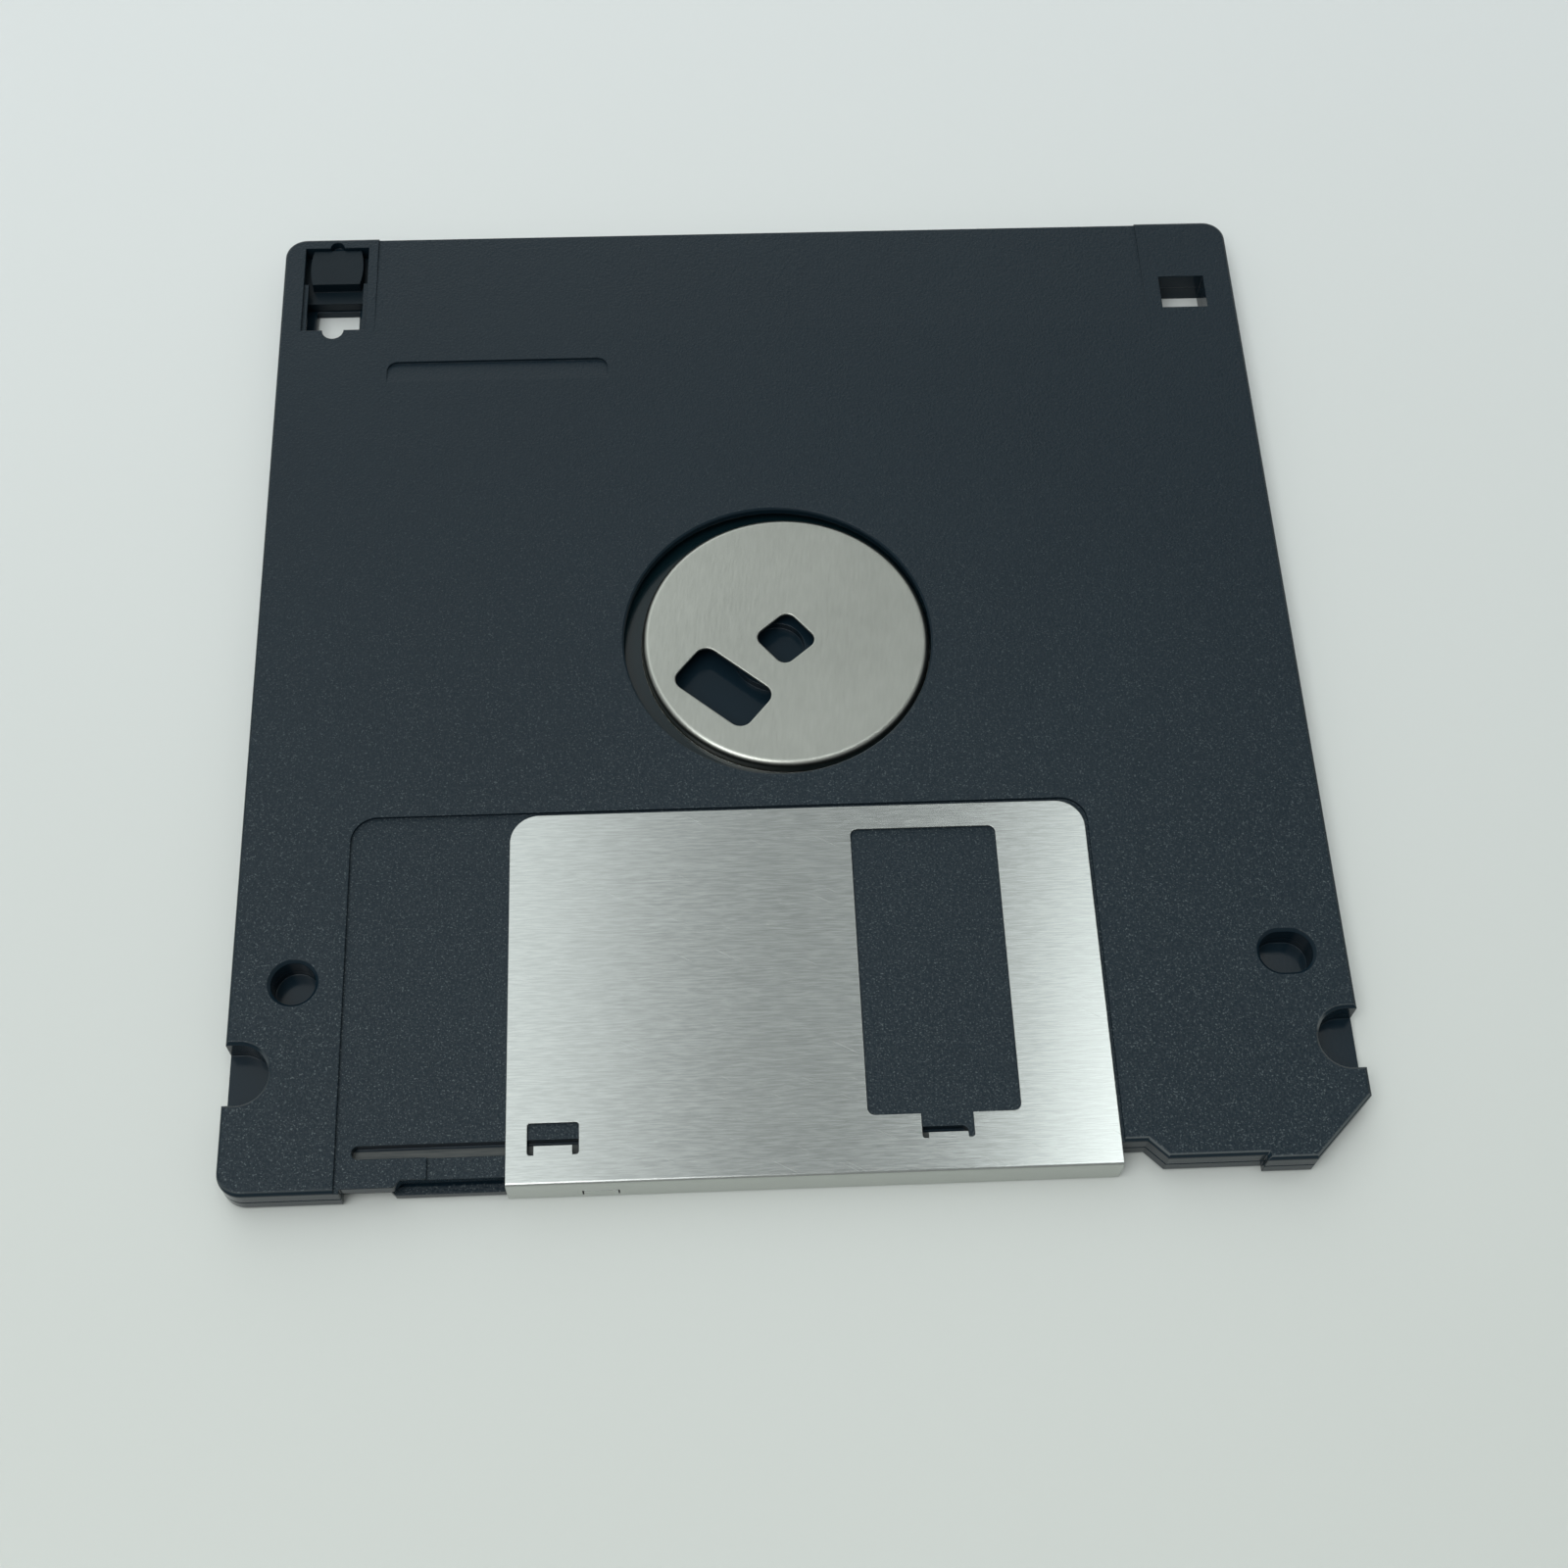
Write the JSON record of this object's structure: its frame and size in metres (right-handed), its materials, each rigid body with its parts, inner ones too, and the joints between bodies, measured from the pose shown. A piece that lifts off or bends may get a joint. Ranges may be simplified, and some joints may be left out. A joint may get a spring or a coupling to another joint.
{
  "type": "floppy disk",
  "caption": "Rigid 3.5 inch floppy disk: flat moulded case with a sprung sliding metal shutter, a sliding write-protect tab and a flexible disk on a steel hub.",
  "frame": {"origin": "centre of the cartridge's outline, on the label side, on which it lies", "axes": "+Z out of the hub side, which faces up; -Y towards the front edge with the shutter, the way the disk goes into a drive; +X to the right seen from the front above"},
  "size_m": [0.09, 0.094, 0.0033],
  "materials": {
    "case_plastic": "dark blue-grey moulded ABS with a fine spark-eroded grain",
    "shutter_steel": "thin stainless sheet, brushed from left to right",
    "spring_wire": "drawn spring wire",
    "tab_plastic": "black moulded plastic",
    "coated_film": "polyester film with a smooth dark brown magnetic coating",
    "hub_steel": "stamped sheet with a satin grain",
    "adhesive": "double-sided adhesive film",
    "liner_fabric": "soft non-woven sheet",
    "lifter_plastic": "thin polyester leaf"
  },
  "bodies": {
    "case": {"hub_side_shell": "case_plastic", "label_side_shell": "case_plastic", "shutter_spring": "spring_wire", "hub_side_liner": "liner_fabric", "label_side_liner": "liner_fabric", "lifter": "lifter_plastic"},
    "shutter": {"shutter": "shutter_steel"},
    "disk": {"magnetic_film": "coated_film", "hub": "hub_steel", "hub_adhesive_ring": "adhesive"},
    "write_protect_slider": {"write_protect_tab": "tab_plastic"}
  },
  "joints": [
    {"name": "shutter_slide", "type": "slide", "parent": "case", "child": "shutter", "axis": [-1, 0, 0], "range_m": [0, 0.012], "stiffness_N_per_m": 33, "springref_m": -0.009, "deforming": ["shutter_spring"]},
    {"name": "disk_spin", "type": "hinge", "parent": "case", "child": "disk", "pos_m": [0.00072, 0.00152, 0.0028], "axis": [0, 0, 1], "continuous": true},
    {"name": "write_protect_slide", "type": "slide", "parent": "case", "child": "write_protect_slider", "axis": [0, -1, 0], "range_m": [0, 0.0041]}
  ]
}
